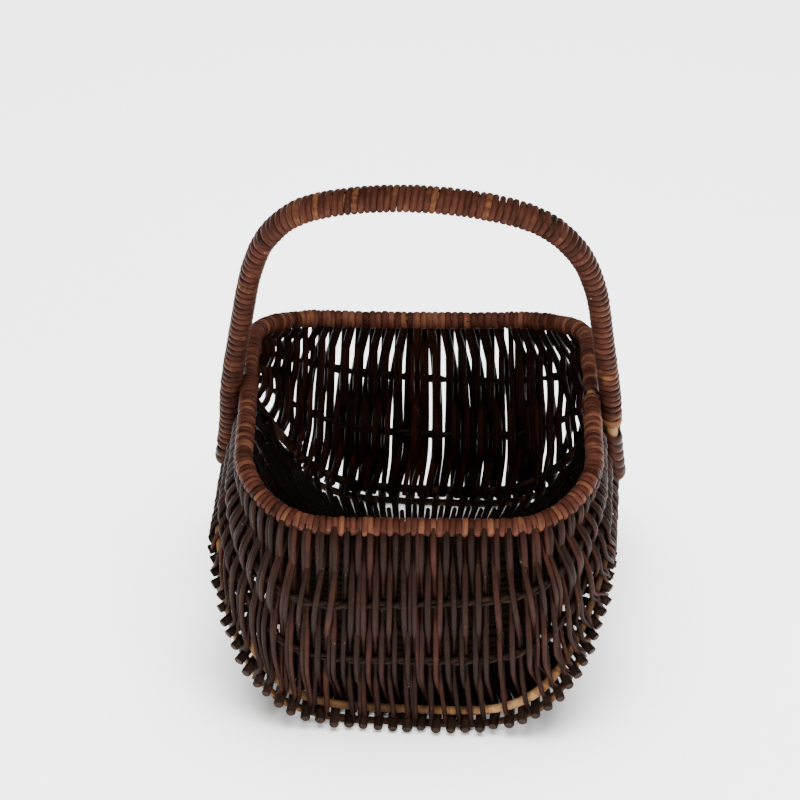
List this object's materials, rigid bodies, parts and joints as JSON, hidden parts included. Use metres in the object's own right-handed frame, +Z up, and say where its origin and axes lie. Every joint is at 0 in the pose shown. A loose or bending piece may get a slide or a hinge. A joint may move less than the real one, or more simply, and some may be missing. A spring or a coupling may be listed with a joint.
{
  "type": "wicker shopping basket",
  "caption": "Openwork wicker shopping basket with a wrapped rim, woven rod walls on a trough-shaped base and a fixed, closely wound bow handle.",
  "frame": {"origin": "on the ground under the middle of the basket", "axes": "+Z up through the handle, -Y towards the front wall, +X to the right"},
  "size_m": [0.358, 0.3627, 0.4516],
  "materials": {
    "dark_willow": "dark reddish-brown unpeeled willow rods, satin bark",
    "handle_willow": "reddish-brown round willow winding, polished by hand wear",
    "peeled_willow": "peeled tan willow, matt",
    "rib_willow": "near-black thin willow ribs, dull bark",
    "butt_willow": "stout brown willow rods with dull cut butts"
  },
  "bodies": {
    "root": {"rim_core": "peeled_willow", "front_wall": "dark_willow", "front_right_corner_wall": "dark_willow", "right_wall": "dark_willow", "back_right_corner_wall": "dark_willow", "back_wall": "dark_willow", "back_left_corner_wall": "dark_willow", "left_wall": "dark_willow", "front_left_corner_wall": "dark_willow", "upper_rib": "rib_willow", "lower_rib": "rib_willow", "upper_base_hoop": "peeled_willow", "lower_base_hoop": "peeled_willow", "long_base_rod_01": "butt_willow", "long_base_rod_02": "butt_willow", "long_base_rod_03": "butt_willow", "long_base_rod_04": "butt_willow", "long_base_rod_05": "butt_willow", "long_base_rod_06": "butt_willow", "long_base_rod_07": "butt_willow", "long_base_rod_08": "butt_willow", "long_base_rod_09": "butt_willow", "long_base_rod_10": "butt_willow", "long_base_rod_11": "butt_willow", "long_base_rod_12": "butt_willow", "long_base_rod_13": "butt_willow", "long_base_rod_14": "butt_willow", "long_base_rod_15": "butt_willow", "long_base_rod_16": "butt_willow", "long_base_rod_17": "butt_willow", "long_base_rod_18": "butt_willow", "long_base_rod_19": "butt_willow", "long_base_rod_20": "butt_willow", "long_base_rod_21": "butt_willow", "long_base_rod_22": "butt_willow", "long_base_rod_23": "butt_willow", "long_base_rod_24": "butt_willow", "long_base_rod_25": "butt_willow", "long_base_rod_26": "butt_willow", "long_base_rod_27": "butt_willow", "cross_base_rod_01": "butt_willow", "cross_base_rod_02": "butt_willow", "cross_base_rod_03": "butt_willow", "cross_base_rod_04": "butt_willow", "cross_base_rod_05": "butt_willow", "cross_base_rod_06": "butt_willow", "cross_base_rod_07": "butt_willow", "cross_base_rod_08": "butt_willow", "cross_base_rod_09": "butt_willow", "handle_core": "peeled_willow", "handle_winding_1": "handle_willow", "handle_winding_2": "handle_willow", "handle_winding_3": "handle_willow", "handle_winding_4": "handle_willow", "handle_winding_5": "handle_willow"}
  },
  "joints": []
}
